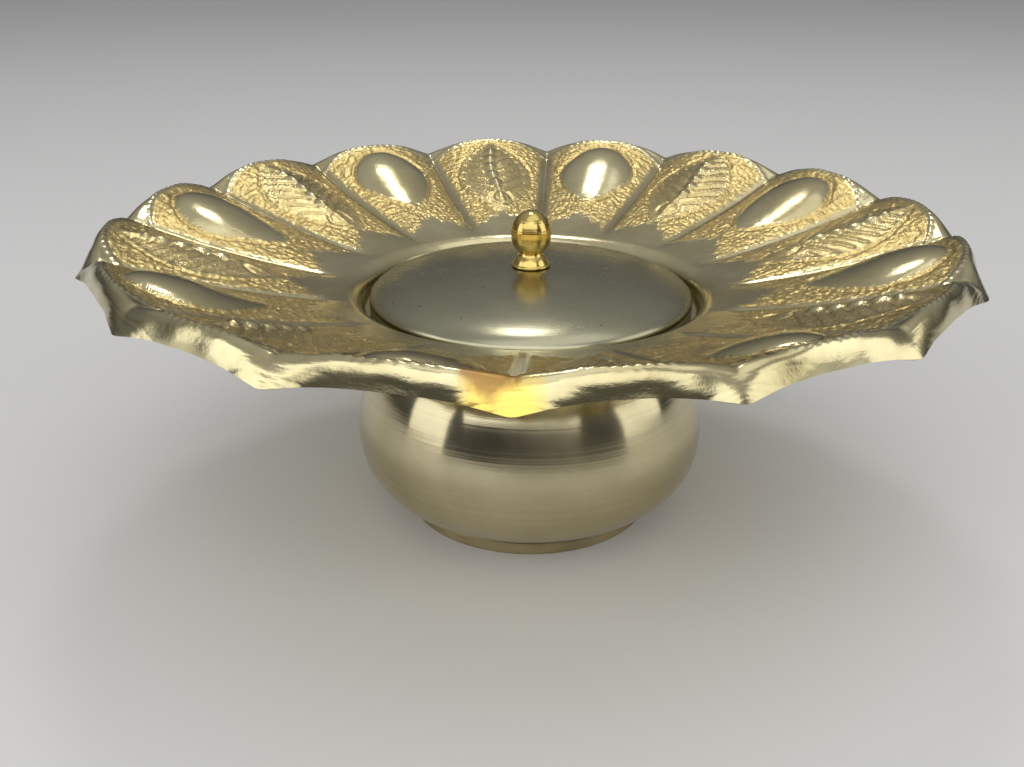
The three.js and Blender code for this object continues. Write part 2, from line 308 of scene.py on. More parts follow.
FOOT_OUTER, FOOT_INNER, FOOT_HEIGHT = 28.0, 25.2, 3.0
foot_ring = turned("foot_ring_band", section_of(
    (FOOT_INNER, 0, 0.3),
    (FOOT_OUTER - 0.35, 0, 0.3),
    (FOOT_OUTER, 0.5, 0.5),
    (FOOT_OUTER - 0.1, 1.5, 0.5),
    (FOOT_OUTER, 2.5, 0.4),
    (FOOT_OUTER - 0.5, FOOT_HEIGHT, 0.3),
    (FOOT_INNER, FOOT_HEIGHT, 0.3),
))
foot_brass = brass("foot_brass", bright=(0.58, 0.49, 0.29), dull=(0.33, 0.26, 0.14), roughness=0.30,
                   line_pitch=0.0009, line_depth=0.00003, lines_along="height", seam=0.0031)
stands_for(foot_ring, "foot_ring", "lamp", foot_brass)

# ---- Bowl --------------------------------------------------------------------------------------------
# The oil bowl, spun from one disc of sheet brass: a flat floor, a full low belly, a straight neck and a
# narrow flat flange that the dish lies on. The spinning tool has left fine level lines all the way up.


def flowing(points, steps):
    """A smooth line through the points, with the same number of steps between each two."""
    p = np.array(points, float)
    p = np.vstack([p[:1], p, p[-1:]])
    line = []
    for i in range(1, len(p) - 2):
        for t in np.linspace(0, 1, steps, endpoint=False):
            a, b, c, d = p[i - 1], p[i], p[i + 1], p[i + 2]
            line.append(0.5 * (2 * b + (c - a) * t + (2 * a - 5 * b + 4 * c - d) * t ** 2
                               + (3 * b - a - 3 * c + d) * t ** 3))
    line.append(p[-2])
    return [Vector(q) for q in line]


def sheet(skin, thickness):
    """The closed section of sheet metal. The metal lies on the left of the line as it is walked, and a sharp
    bend in the line is kept from throwing out a spike.
    """
    sharpest_mitre = 0.7
    normals = [(b - a).normalized() for a, b in zip(skin, skin[1:])]
    normals = [Vector((-n.y, n.x)) for n in normals]
    other = []
    for i, here in enumerate(skin):
        before, after = normals[max(i - 1, 0)], normals[min(i, len(normals) - 1)]
        mitre = (before + after).normalized()
        other.append(here + mitre * (thickness / max(sharpest_mitre, mitre.dot(after))))
    return [*skin, *reversed(other)]


BOWL_FLOOR, BOWL_TOP, BOWL_SHEET = 3.3, 45.6, 1.0
BELLY_RADIUS, BELLY_HEIGHT = 38.7, 18.2
MOUTH, NECK_FROM, FLANGE_WIDTH = 30.3, 41.6, 3.0
FOOT_JOINT = FOOT_OUTER - 0.6


def up_the_belly(out, up):
    """A point on the lower side, by its shares of the way out and up from the foot joint to the belly."""
    return FOOT_JOINT + out * (BELLY_RADIUS - FOOT_JOINT), BOWL_FLOOR + up * (BELLY_HEIGHT - BOWL_FLOOR)


def up_the_shoulder(out, up):
    """A point on the upper side, by its share of the way out from the mouth and up from the belly."""
    return MOUTH + out * (BELLY_RADIUS - MOUTH), BELLY_HEIGHT + up * (NECK_FROM - BELLY_HEIGHT)


bowl_side = flowing([
    (FOOT_JOINT, BOWL_FLOOR), up_the_belly(0.5, 0.2), up_the_belly(0.87, 0.56), (BELLY_RADIUS, BELLY_HEIGHT),
    up_the_shoulder(0.92, 0.31), up_the_shoulder(0.55, 0.7), (MOUTH, NECK_FROM),
], steps=9)
flange = BOWL_TOP - BOWL_SHEET
neck_and_flange = section_of(
    (MOUTH, NECK_FROM + 0.6, 0),
    (MOUTH, flange, 0.9),
    (MOUTH + FLANGE_WIDTH, flange, 0),
    closed=False,
)
bowl_skin = [
    Vector((0, BOWL_FLOOR)), Vector((FOOT_JOINT - 3, BOWL_FLOOR)), Vector((FOOT_JOINT - 0.8, BOWL_FLOOR)),
    *bowl_side, *neck_and_flange,
]
bowl_section = [p if p.x > 1e-6 else Vector((0, p.y)) for p in sheet(bowl_skin, BOWL_SHEET)]
bowl = turned("bowl_pot", bowl_section, steps=256)
bowl_brass = brass("bowl_brass", bright=(0.61, 0.545, 0.35), dull=(0.48, 0.42, 0.25), roughness=0.12,
                   line_pitch=0.0011, line_depth=0.00002, lines_along="height", patch_size=0.03, stretch=0.75,
                   line_shade=0.12, seam=0.0034)
stands_for(bowl, "bowl_shell", "lamp", bowl_brass)

# ---- Mouth collar ------------------------------------------------------------------------------------
# A short ring of rolled strip brass, soldered to the middle of the dish. It drops into the bowl's neck and
# centres the dish on it, and the lid's own ring turns inside it.

WELL_FLOOR = 46.6
COLLAR_OUTER, COLLAR_BORE, COLLAR_BOTTOM = 29.0, 28.2, 41.6
COLLAR_FLANGE_RADIUS, COLLAR_FLANGE_LOW, COLLAR_FLANGE_HIGH = 31.2, 46.9, 47.7
mouth_collar = turned("mouth_collar_ring", section_of(
    (COLLAR_BORE, COLLAR_BOTTOM, 0.2),
    (COLLAR_OUTER, COLLAR_BOTTOM, 0.2),
    (COLLAR_OUTER, COLLAR_FLANGE_LOW, 0.1),
    (COLLAR_FLANGE_RADIUS, COLLAR_FLANGE_LOW, 0.2),
    (COLLAR_FLANGE_RADIUS, COLLAR_FLANGE_HIGH, 0.3),
    (COLLAR_BORE, COLLAR_FLANGE_HIGH, 0.3),
))
inner_brass = brass("inner_brass", bright=(0.55, 0.42, 0.21), dull=(0.30, 0.20, 0.09), roughness=0.38,
                    line_pitch=0.0008, line_depth=0.00004, lines_along="height", patch_size=0.008)
stands_for(mouth_collar, "mouth_collar", "lamp", inner_brass)

# ---- Petal dish --------------------------------------------------------------------------------------
# One disc of thin sheet brass, pressed into a lotus of sixteen arched petals and then chased: a smooth drop
# and a veined leaf by turns, on a punched ground inside a rope border. The lip outside that is plain, turned
# down and polished. The dish is soldered on the bowl's flange.

PETALS, STEPS_PER_PETAL = 16, 76
DISH_SHEET = 0.7
RIM, RIM_SETBACK, LIP_REACH = 89.7, 2.2, 5.0
CREST, CREST_HEIGHT = 84.7, WELL_FLOOR + 20.4
DISH_HOLE, WELL_WALL = 29.3, 36.7
SHOULDER = (39.8, WELL_FLOOR + 5.1)
PETAL_SAG, SAG_AT, LIP_PULL = 2.8, 0.58, 0.4
GROOVE_DEPTH, LIP_DROP, GROOVE_LIP_DROP = 3.4, 3.9, 1.9
GROOVE_ROUNDING, PETAL_FULLNESS = 0.06, 2.4
FRONT_GROOVE_DEPTH, FRONT_TIP_TURN, FRONT_TIP_SPREAD = 1.2, 0.024, 0.24
OVAL_LEFT, OVAL_RIGHT = 0.022, 0.013


def curve(start, bend, end, steps):
    """A plain curved stretch from start to end, pulled towards bend."""
    t = np.linspace(0, 1, steps)[:, None]
    return np.array(start) * (1 - t) ** 2 + np.array(bend) * 2 * t * (1 - t) + np.array(end) * t ** 2


def dish_line(crest, rim, petal_steps, lip_steps, well_steps):
    """One radial line of the dish's face, from its hole to its rim."""
    crest, rim = np.array(crest), np.array(rim)
    floor = [(radius, WELL_FLOOR) for radius in (DISH_HOLE, 31.3, 33.4, 35.4)]
    wall_foot, wall_top = (WELL_WALL - 1.1, WELL_FLOOR), (WELL_WALL, WELL_FLOOR + 1.6)
    wall = curve(wall_foot, (WELL_WALL - 0.15, WELL_FLOOR + 0.05), wall_top, well_steps)
    edge_foot = (WELL_WALL + 0.05, WELL_FLOOR + 2.0)
    edge = curve(edge_foot, (WELL_WALL + 0.4, WELL_FLOOR + 4.1), SHOULDER, 2 * well_steps)
    bend = np.array(SHOULDER) + SAG_AT * (crest - SHOULDER) - (0, PETAL_SAG)
    petal = curve(SHOULDER, bend, crest, petal_steps)[1:]
    over = (crest - bend) / np.linalg.norm(crest - bend)
    lip = curve(crest, crest + LIP_PULL * LIP_REACH * over, rim, lip_steps)[1:]
    return np.vstack([floor, wall, edge, petal, lip])


def smooth_step(low, high, value):
    """0 below low, 1 above high (or the other way round when low is the larger), smooth between."""
    t = np.clip((value - low) / (high - low), 0, 1)
    return t * t * (3 - 2 * t)


def dish_surface(petal_steps, lip_steps, well_steps):
    """The plain pressed shape, before chasing: its points, and each point's radius, its place across the
    petal from -1 to 1, and its petal's number.
    """
    steps = {"petal_steps": petal_steps, "lip_steps": lip_steps, "well_steps": well_steps}
    ridge = dish_line((CREST, CREST_HEIGHT), (RIM - RIM_SETBACK, CREST_HEIGHT - LIP_DROP), **steps)
    tip = (RIM, CREST_HEIGHT - GROOVE_DEPTH - GROOVE_LIP_DROP)
    groove = dish_line((CREST, CREST_HEIGHT - GROOVE_DEPTH), tip, **steps)
    front_groove = dish_line((CREST, CREST_HEIGHT - FRONT_GROOVE_DEPTH), tip, **steps)

    turns = np.arange(PETALS * STEPS_PER_PETAL) / STEPS_PER_PETAL
    number = np.floor(turns).astype(int)
    across = 2 * (turns - number) - 1
    rounded = 1 - np.sqrt((1 - np.abs(across)) ** 2 + GROOVE_ROUNDING ** 2)
    share = np.clip(rounded / (1 - GROOVE_ROUNDING), 0, 1) ** PETAL_FULLNESS
    angles = turns * 2 * math.pi / PETALS

    # The front grooves are shallower than the rest, and the front tip stands a little to one side.
    from_front = np.abs((angles + math.pi / 2 + math.pi) % (2 * math.pi) - math.pi)
    deep = smooth_step(0.5, 1.7, from_front)[None, :, None]
    groove = front_groove[:, None, :] * (1 - deep) + groove[:, None, :] * deep
    line = ridge[:, None, :] + (groove - ridge[:, None, :]) * share[None, :, None]
    angles = angles + FRONT_TIP_TURN * np.exp(-(from_front / FRONT_TIP_SPREAD) ** 2)
    points = np.stack([line[..., 0] * np.cos(angles), line[..., 0] * np.sin(angles), line[..., 1]], axis=-1)
    shape = line.shape[:2]
    return points, line[..., 0], np.broadcast_to(across, shape), np.broadcast_to(number, shape)


def face_up_normals(points):
    """Unit normals of a grid that is closed round the axis, pointing up out of the dish."""
    outward = np.gradient(points, axis=0)
    along = np.roll(points, -1, axis=1) - np.roll(points, 1, axis=1)
    normals = np.cross(outward, along)
    return normals / np.linalg.norm(normals, axis=-1, keepdims=True)


def lip_waver(points, r):
    """The slight unevenness that hammering has left in the lip, in mm."""
    angle = np.arctan2(points[..., 1], points[..., 0])
    slow = 0.12 * np.sin(7 * angle + 0.13 * r) + 0.10 * np.sin(23 * angle - 0.31 * r)
    quick = 0.07 * np.sin(61 * angle + 0.9 * r)
    return smooth_step(80, 89, r) * (slow + quick)


def punched(x, y, pitch, seed):
    """Distance to the nearest punch mark, in pitches. The marks stand on a loose grid, one in each cell."""
    cell_x, cell_y = np.floor(x / pitch), np.floor(y / pitch)
    nearest = np.full(x.shape, 9.0)
    for dx in (-1, 0, 1):
        for dy in (-1, 0, 1):
            cx, cy = cell_x + dx, cell_y + dy
            scatter = np.sin(cx * 127.1 + cy * 311.7 + seed) * 43758.5453
            scatter_too = np.sin(cx * 269.5 + cy * 183.3 + seed) * 43758.5453
            px = cx + 0.15 + 0.7 * (scatter - np.floor(scatter))
            py = cy + 0.15 + 0.7 * (scatter_too - np.floor(scatter_too))
            nearest = np.minimum(nearest, np.hypot(x / pitch - px, y / pitch - py))
    return nearest


DROP_MIDDLE, DROP_TIP, DROP_ROUND_END = 72.0, 55.0, 10.2
DROP_HALF_WIDTH, DROP_HEIGHT, DROP_PRESSED = 9.6, 2.1, 1.5
LEAF_BASE, LEAF_POINT, LEAF_HALF_WIDTH = 50.0, 84.0, 9.6
ROPE_RADIUS, ROPE_DIP, ROPE_PITCH, ROPE_WIDTH, ROPE_HEIGHT = 85.3, 3.8, 1.7, 0.55, 0.26
PIT_PITCH, PIT_DEPTH, DENT_PITCH, DENT_HEIGHT = 1.3, 0.20, 3.1, 0.14
LINE_DEPTH, LINE_WIDTH, CREASE_DEPTH, CREASE_WIDTH = 0.26, 0.45, 0.30, 0.7


def drop_half_width(r):
    """Half the width of the raised drop, in mm. The round end is the outer one."""
    outer = DROP_HALF_WIDTH * np.sqrt(np.clip(1 - ((r - DROP_MIDDLE) / DROP_ROUND_END) ** 2, 0, 1))
    to_tip = np.clip((DROP_MIDDLE - r) / (DROP_MIDDLE - DROP_TIP), 0, 1)
    inner = DROP_HALF_WIDTH * (1 - to_tip ** 1.6) ** 1.1
    return np.where(r > DROP_MIDDLE, outer, inner)


def drop_dome(r, w):
    """The raised drop: 1 at its crown, 0 at its outline and beyond, a little higher towards its round end."""
    half = np.maximum(drop_half_width(r), 0.01)
    crown = (half / DROP_HALF_WIDTH) ** 1.3
    return crown * np.clip(1 - (w / half) ** 2, 0, 1) ** 0.85 * (1 + 0.035 * (r - DROP_MIDDLE))


def leaf_half_width(r):
    """Half the width of the leaf, in mm. It is widest nearer its point."""
    x = np.clip((r - LEAF_BASE) / (LEAF_POINT - LEAF_BASE), 0, 1)
    return LEAF_HALF_WIDTH * np.sin(math.pi * x ** 1.3) ** 0.8


def stroke(distance, width):
    """1 on a line, falling off smoothly to either side of it."""
    return np.exp(-(distance / width) ** 2)


def drop_relief(r, w, ground, in_field):
    """A smooth raised drop with a line chased round it, on the punched ground: its height, and where it is
    matt.
    """
    line_gap = 0.7
    dome = drop_dome(r, w)
    inside = smooth_step(0.02, 0.12, dome)
    from_side = np.abs(w) - drop_half_width(r)
    from_end = np.hypot(r - DROP_MIDDLE, w * DROP_ROUND_END / DROP_HALF_WIDTH) - DROP_ROUND_END
    side_line = -LINE_DEPTH * stroke(from_side - line_gap, LINE_WIDTH) * (r > 57) * (r < 81)
    end_line = -LINE_DEPTH * stroke(from_end - line_gap, LINE_WIDTH) * (r > 76)
    relief = DROP_HEIGHT * dome + ground * (1 - inside) * in_field
    return relief + (side_line + end_line) * (1 - inside) * in_field, in_field * (1 - inside)


def leaf_relief(r, w, number, ground, in_field):
    """A swelling leaf with a swaying stem of small scales, slanting veins, and a ring at the stem's foot."""
    stem_sway, stem_height, stem_width = 0.9, 0.24, 0.55
    off_stem = w - stem_sway * np.sin((r - LEAF_BASE) / (LEAF_POINT - LEAF_BASE) * 2 * math.pi + number)
    stem = stem_height * stroke(off_stem, stem_width) * smooth_step(53, 57, r) * smooth_step(84, 80, r)

    swell_height, outline_depth, outline_width = 1.1, 0.24, 0.4
    inside = leaf_half_width(r) - np.abs(w)
    leaf_face = smooth_step(0.0, 0.8, inside)
    swell = swell_height * smooth_step(-0.5, 8.5, inside)
    outline = -outline_depth * stroke(inside + 0.5, outline_width) * (r > 52) * (r < 83)

    vein_pitch, vein_slant, vein_depth, vein_width = 3.3, 0.85, 0.42, 0.38
    vein_at = (r - vein_slant * np.abs(off_stem) + 0.12 * np.sin(r + number)) / vein_pitch
    off_vein = (vein_at - np.round(vein_at)) * vein_pitch
    veins = -vein_depth * stroke(off_vein, vein_width) * smooth_step(1.0, 1.8, np.abs(off_stem))
    veins *= smooth_step(0.8, 2.0, inside) * smooth_step(59, 62, r)

    first_scale, scale_pitch, scale_radius, scale_height = 61.0, 3.6, 1.55, 0.5
    ring_middle, ring_radius = 58.0, 2.5
    scale_at = (r - first_scale) / scale_pitch
    off_scale = np.hypot((scale_at - np.round(scale_at)) * scale_pitch, off_stem) / scale_radius
    scales = np.sqrt(np.clip(1 - off_scale ** 2, 0, 1)) * (r > 62.6) * (r < 78.8)
    ring = stroke(np.hypot(r - ring_middle, off_stem) - ring_radius, LINE_WIDTH)

    faded_ground = ground * (1 - 0.85 * leaf_face) * (1 - scales)
    carved = faded_ground + outline + stem + veins - LINE_DEPTH * ring + scale_height * scales
    matt = in_field * (1 - 0.35 * leaf_face) * (1 - 0.8 * (scales > 0.05))
    return carved * in_field + swell * smooth_step(50, 60, r), matt


def chasing(r, across, number):
    """What hammer and punches add to the pressed shape in mm, where it is matt, and where painted shade
    darkens the grooves between the petals.
    """
    half = r * math.pi / PETALS
    w = across * half
    from_groove = half - np.abs(w)
    from_rope = ROPE_RADIUS - ROPE_DIP * np.abs(across) ** PETAL_FULLNESS - r

    # The worked field stops short of the grooves and the rope, and ends in a ragged line towards the lid.
    root = 50.5 - 7.5 * np.abs(across) ** 0.9 + 0.7 * np.sin(1.9 * w + 2.0 * number)
    in_field = smooth_step(0.9, 2.1, from_groove) * smooth_step(0.5, 1.1, from_rope)
    in_field *= smooth_step(0, 3.0, r - root)
    on_petal = smooth_step(42, 52, r) * smooth_step(-2.0, 2.0, from_rope)

    # The ground is covered with small close pits, over the soft dents of a larger punch.
    small_marks = punched(r + number * 31.7, w, PIT_PITCH, seed=2.0)
    large_marks = punched(r * 0.9 + number * 17.3, w * 0.9 + 40, DENT_PITCH, seed=5.0)
    pits = -PIT_DEPTH * (1 - smooth_step(0.10, 0.60, small_marks))
    ground = pits + DENT_HEIGHT * smooth_step(0.15, 0.75, large_marks)

    with_drop, matt_with_drop = drop_relief(r, w, ground, in_field)
    with_leaf, matt_with_leaf = leaf_relief(r, w, number, ground, in_field)
    has_drop = number % 2 == 1
    relief = np.where(has_drop, with_drop, with_leaf)
    matt = np.where(has_drop, matt_with_drop, matt_with_leaf)

    rope_phase = (np.abs(w) + 0.8 * from_rope) / ROPE_PITCH
    twist = 0.3 + 0.7 * (0.5 + 0.5 * np.cos(2 * math.pi * rope_phase))
    rope = ROPE_HEIGHT * (stroke(from_rope, ROPE_WIDTH) * twist * (r > 70))
    crease = -CREASE_DEPTH * stroke(from_groove, CREASE_WIDTH) * smooth_step(42, 48, r)
    crease *= 1 - smooth_step(84, 88, r)
    # The last value marks the grooves between the petals, where the colour is darkened as painted shade.
    return relief + rope + crease, np.clip(matt, 0, 1), stroke(from_groove, 1.1) * on_petal


face, face_radius, across, number = dish_surface(petal_steps=132, lip_steps=24, well_steps=6)
relief, matt, crease_shade = chasing(face_radius, across, number)
face = face + face_up_normals(face) * (relief + lip_waver(face, face_radius))[..., None]

# The back follows the pressed shape, and shows the drops but not the finer punch work.
back, back_radius, back_across, back_number = dish_surface(petal_steps=40, lip_steps=10, well_steps=3)
pressed = DROP_PRESSED * drop_dome(back_radius, back_across * back_radius * math.pi / PETALS)
pressed = pressed * (back_number % 2 == 1)
back_lift = pressed + lip_waver(back, back_radius) - DISH_SHEET
back = back + face_up_normals(back) * back_lift[..., None]

# The dish is slightly oval: it reaches a little further out to the left and right than to front and back.
for surface, surface_radius in ((face, face_radius), (back, back_radius)):
    pulled = smooth_step(42, 89, surface_radius)
    surface[..., 0] *= 1 + pulled * np.where(surface[..., 0] < 0, OVAL_LEFT, OVAL_RIGHT)

columns = PETALS * STEPS_PER_PETAL
rows = face.shape[0] + back.shape[0]
dish_points = np.vstack([face.reshape(-1, 3), back[::-1].reshape(-1, 3)])
column = np.arange(columns)
next_column = (column + 1) % columns
quads = []
for i in range(rows):
    a, b = i * columns, (i + 1) % rows * columns
    quads.append(np.stack([a + column, b + column, b + next_column, a + next_column], axis=-1))
petal_dish = finished_mesh("petal_dish_chased", dish_points, np.vstack(quads).tolist(), sharp=60)

plain_back = np.zeros(back.shape[0] * columns)
for name, values in (("matt", matt), ("crease_shade", crease_shade)):
    held = petal_dish.data.attributes.new(name, "FLOAT", "POINT")
    held.data.foreach_set("value", np.concatenate([values.ravel(), plain_back]).astype(np.float32))


def distance_from(tree, place, point):
    """How far a place is from one point, in metres."""
    gap = node(tree, "VectorMath", operation="DISTANCE", Vector=place)
    gap.inputs[1].default_value = point
    return gap.outputs["Value"]


def chased_brass():
    """Polished sheet with a warm punched ground, painted shade in the grooves between the petals, and a worn
    and stained front tip.
    """
    clean_sheet, dull_sheet = (0.71, 0.64, 0.385), (0.54, 0.465, 0.245)
    # The last colour here is painted shade for the grooves between the petals.
    bright_ground, dark_ground, painted_groove_shade = (0.90, 0.72, 0.32), (0.62, 0.46, 0.175), (0.26, 0.18, 0.08)
    worn_gold, worn_middle = (0.86, 0.62, 0.15), (0.0010, -0.0885, 0.0620)
    stain_brown, stain_middle = (0.43, 0.25, 0.09), (-0.0002, -0.0838, 0.0655)
    made, tree, shader = material("chased_brass")
    place = node(tree, "TexCoord").outputs["Object"]
    matt = node(tree, "Attribute", attribute_name="matt").outputs["Fac"]
    crease_shade = node(tree, "Attribute", attribute_name="crease_shade").outputs["Fac"]
    clouds = node(tree, "TexNoise", Vector=place, Scale=55.0, Detail=6.0, Roughness=0.6).outputs[0]
    grains = node(tree, "TexNoise", Vector=place, Scale=1300.0, Detail=2.0, Roughness=0.6).outputs[0]

    polished = blend_colour(tree, between(tree, 0.42, 0.72, clouds), clean_sheet, dull_sheet)
    ground = blend_colour(tree, between(tree, 0.35, 0.65, grains), bright_ground, dark_ground)
    colour = blend_colour(tree, matt, polished, ground)
    # Painted shade darkens the grooves between the petals.
    colour = blend_colour(tree, maths(tree, "MULTIPLY", crease_shade, 0.4), colour, painted_groove_shade)

    # The front tip is worn to a deep gold, with a brown stain just above it. Both have ragged edges.
    from_worn = maths(tree, "MULTIPLY_ADD", clouds, 0.014, distance_from(tree, place, worn_middle))
    colour = blend_colour(tree, between(tree, 0.0146, 0.0120, from_worn), colour, worn_gold)
    from_stain = maths(tree, "MULTIPLY_ADD", clouds, 0.016, distance_from(tree, place, stain_middle))
    stain = between(tree, 0.0136, 0.0116, from_stain, 0.0, 0.85)
    colour = blend_colour(tree, stain, colour, stain_brown)
    tree.links.new(colour, shader.inputs["Base Color"])
    shader.inputs["Metallic"].default_value = 1.0

    # The polished metal is smooth, the punched ground a little rougher, and the stain the roughest.
    rough = maths(tree, "MULTIPLY_ADD", clouds, 0.14, 0.12)
    rough = maths(tree, "MULTIPLY_ADD", matt, 0.13, rough)
    rough = maths(tree, "MULTIPLY_ADD", stain, 0.3, rough)
    tree.links.new(rough, shader.inputs["Roughness"])

    # Fine scratches and ripples all over, rub lines round the polished lip, and grains in the matt ground.
    slanted = node(tree, "Mapping", Vector=place, Rotation=(0.3, 0.2, 0.6), Scale=(260, 1900, 900)).outputs[0]
    scratches = node(tree, "TexNoise", Vector=slanted, Scale=1.0, Detail=2.0).outputs[0]
    reach = out_from_axis(tree, place)
    wavering = maths(tree, "MULTIPLY_ADD", clouds, 0.002, reach)
    rubbed = node(tree, "TexNoise", noise_dimensions="1D", W=wavering, Scale=1800.0, Detail=2.0).outputs[0]
    rubbed = maths(tree, "MULTIPLY", rubbed, between(tree, 0.0835, 0.0860, reach))
    sanded = node(tree, "TexNoise", Vector=place, Scale=2600.0, Detail=2.0).outputs[0]
    rippled = node(tree, "TexNoise", Vector=place, Scale=210.0, Detail=2.0).outputs[0]
    pitted = maths(tree, "MULTIPLY", grains, matt)
    bump = node(tree, "Bump", Height=scratches, Distance=0.00002, Strength=0.6)
    bump = node(tree, "Bump", Height=rubbed, Distance=0.00006, Strength=0.8, Normal=bump.outputs[0])
    bump = node(tree, "Bump", Height=sanded, Distance=0.00002, Strength=0.7, Normal=bump.outputs[0])
    bump = node(tree, "Bump", Height=rippled, Distance=0.00016, Strength=0.5, Normal=bump.outputs[0])
    bump = node(tree, "Bump", Height=pitted, Distance=0.00020, Strength=0.9, Normal=bump.outputs[0])
    tree.links.new(bump.outputs[0], shader.inputs["Normal"])
    return made


stands_for(petal_dish, "petal_dish", "lamp", chased_brass())

# ---- Wick holder -------------------------------------------------------------------------------------
# A small turned foot soldered to the middle of the bowl's floor, with a boss that holds a drawn brass tube
# upright. Two cross slots near the tube's foot let the oil in to the cotton.

WICK_FOOT_BOTTOM, WICK_FOOT_TOP, WICK_FOOT_RADIUS = 4.6, 6.0, 10.0
BOSS_RADIUS, BOSS_TOP = 2.0, 7.5
OILY_BRIGHT, OILY_DULL, OILY_ROUGHNESS = (0.52, 0.39, 0.18), (0.26, 0.17, 0.07), 0.34
wick_foot = turned("wick_foot", section_of(
    (0, WICK_FOOT_BOTTOM, 0),
    (WICK_FOOT_RADIUS, WICK_FOOT_BOTTOM, 0.2),
    (WICK_FOOT_RADIUS, WICK_FOOT_TOP - 0.5, 0.3),
    (WICK_FOOT_RADIUS - 0.8, WICK_FOOT_TOP, 0.4),
    (BOSS_RADIUS, WICK_FOOT_TOP, 0.2),
    (BOSS_RADIUS, BOSS_TOP, 0.3),
    (0, BOSS_TOP, 0),
    closed=False,
), steps=96)
oily_brass = brass("oily_brass", OILY_BRIGHT, OILY_DULL, OILY_ROUGHNESS, line_pitch=0.0009,
                   line_depth=0.00004, lines_along="radius", patch_size=0.006)
stands_for(wick_foot, "wick_base", "lamp", oily_brass)

drawn_brass = brass("drawn_brass", OILY_BRIGHT, OILY_DULL, OILY_ROUGHNESS, line_pitch=0.0012,
                    line_depth=0.00004, lines_along="height", patch_size=0.006)
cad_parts["wick_tube"].data.materials.clear()
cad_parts["wick_tube"].data.materials.append(drawn_brass)

# ---- Cotton wick -------------------------------------------------------------------------------------
# Three strands of cotton yarn twisted together and pushed through the tube. The burning end is a little
# frayed and scorched, and it is drawn up by hand as it burns away.

WICK_BOTTOM, WICK_TOP, WICK_RADIUS = 7.8, 35.3, 2.0
STRANDS, TWIST_PITCH, TUFT_LENGTH = 3, 9.0, 2.6


def twisted_wick():
    """A three-lobed section turned as it rises, drawn in to a soft tuft at the top."""
    levels, around = 120, 48
    heights = np.linspace(WICK_BOTTOM, WICK_TOP, levels)
    angles = np.arange(around) * 2 * math.pi / around
    top = smooth_step(WICK_TOP - TUFT_LENGTH, WICK_TOP, heights)[:, None]
    lobes = 0.5 + 0.5 * np.cos(STRANDS * (angles[None, :] - heights[:, None] * 2 * math.pi / TWIST_PITCH))
    fibres = 0.05 * np.sin(17 * angles[None, :] + 5 * heights[:, None])
    between_strands, strand_height, tuft_taper = 0.80, 0.17, 0.82
    thickness = between_strands + strand_height * lobes ** 0.5 + fibres * (1 - top)
    reach = WICK_RADIUS * thickness * (1 - tuft_taper * top ** 1.5)
    points = np.stack([
        reach * np.cos(angles), reach * np.sin(angles), np.broadcast_to(heights[:, None], reach.shape)
    ], axis=-1).reshape(-1, 3)
    faces = []
    for i in range(levels - 1):
        a, b = i * around, (i + 1) * around
        faces += [(a + k, a + (k + 1) % around, b + (k + 1) % around, b + k) for k in range(around)]
    faces.append(tuple(reversed(range(around))))
    faces.append(tuple((levels - 1) * around + k for k in range(around)))
    return finished_mesh("twisted_wick", points, faces, sharp=70)


def cotton_yarn():
    """Off-white cotton with fibres that run up the wick, charred at the burning end."""
    made, tree, shader = material("cotton_yarn")
    place = node(tree, "TexCoord").outputs["Object"]
    drawn_out = node(tree, "Mapping", Vector=place, Scale=(2600, 2600, 500)).outputs[0]
    fibre = node(tree, "TexNoise", Vector=drawn_out, Scale=1.0, Detail=4.0).outputs[0]
    height = node(tree, "SeparateXYZ", Vector=place).outputs["Z"]
    clean = blend_colour(tree, fibre, (0.62, 0.55, 0.42), (0.86, 0.82, 0.72))
    charred = between(tree, 0.0335, 0.0362, maths(tree, "MULTIPLY_ADD", fibre, 0.0016, height))
    colour = blend_colour(tree, charred, clean, (0.035, 0.028, 0.022))
    tree.links.new(colour, shader.inputs["Base Color"])
    shader.inputs["Roughness"].default_value = 0.95
    bump = node(tree, "Bump", Height=fibre, Distance=0.00015, Strength=0.8)
    tree.links.new(bump.outputs[0], shader.inputs["Normal"])
    return made


stands_for(twisted_wick(), "cotton_wick", "wick", cotton_yarn())

# ---- Lid ---------------------------------------------------------------------------------------------
# A shallow dome of sheet brass, spun and polished, with its edge turned down and hemmed. It drops loose into
# the dish's well and covers the oil, and it lifts off by its knob.

LID_RADIUS, LID_SHEET, LID_RISE = 35.0, 0.8, 6.2
LID_EDGE_BOTTOM, LID_EDGE_TOP = 46.9, 49.5
STUD_HOLE, DOME_STEPS = 2.0, 60


def dome_height(radius):
    """The height of the lid's upper face at a radius."""
    return LID_EDGE_TOP + LID_RISE * math.sqrt(max(0.0, 1 - (radius / LID_RADIUS) ** 2))


hem = [Vector((LID_RADIUS - inward, LID_EDGE_BOTTOM + rise)) for inward, rise in (
    (0.12, 0), (0, 0.3), (0, 0.9), (0.22, 1.25), (0.12, 1.6), (0, 2.0),
)]
dome = []
for step in range(DOME_STEPS + 1):
    share = step / DOME_STEPS
    lean = math.pi / 2 * (1 - share) + math.asin(STUD_HOLE / LID_RADIUS) * share
    out = LID_RADIUS * math.sin(lean)
    dome.append(Vector((out, dome_height(out))))
lid = turned("lid_dome", sheet([*hem, *dome], LID_SHEET), steps=256, sharp=50)
lid_brass = brass("lid_brass", bright=(0.44, 0.425, 0.295), dull=(0.37, 0.35, 0.225), roughness=0.24,
                  line_pitch=0.0016, line_depth=0.000012, lines_along="radius", specks=0.05, stretch=0.15,
                  line_shade=0.06)
stands_for(lid, "lid_shell", "lid", lid_brass)

# ---- Lid locating ring -------------------------------------------------------------------------------
# A ring of strip brass soldered under the lid. It hangs inside the mouth collar, so the lid can turn but not
# slide.

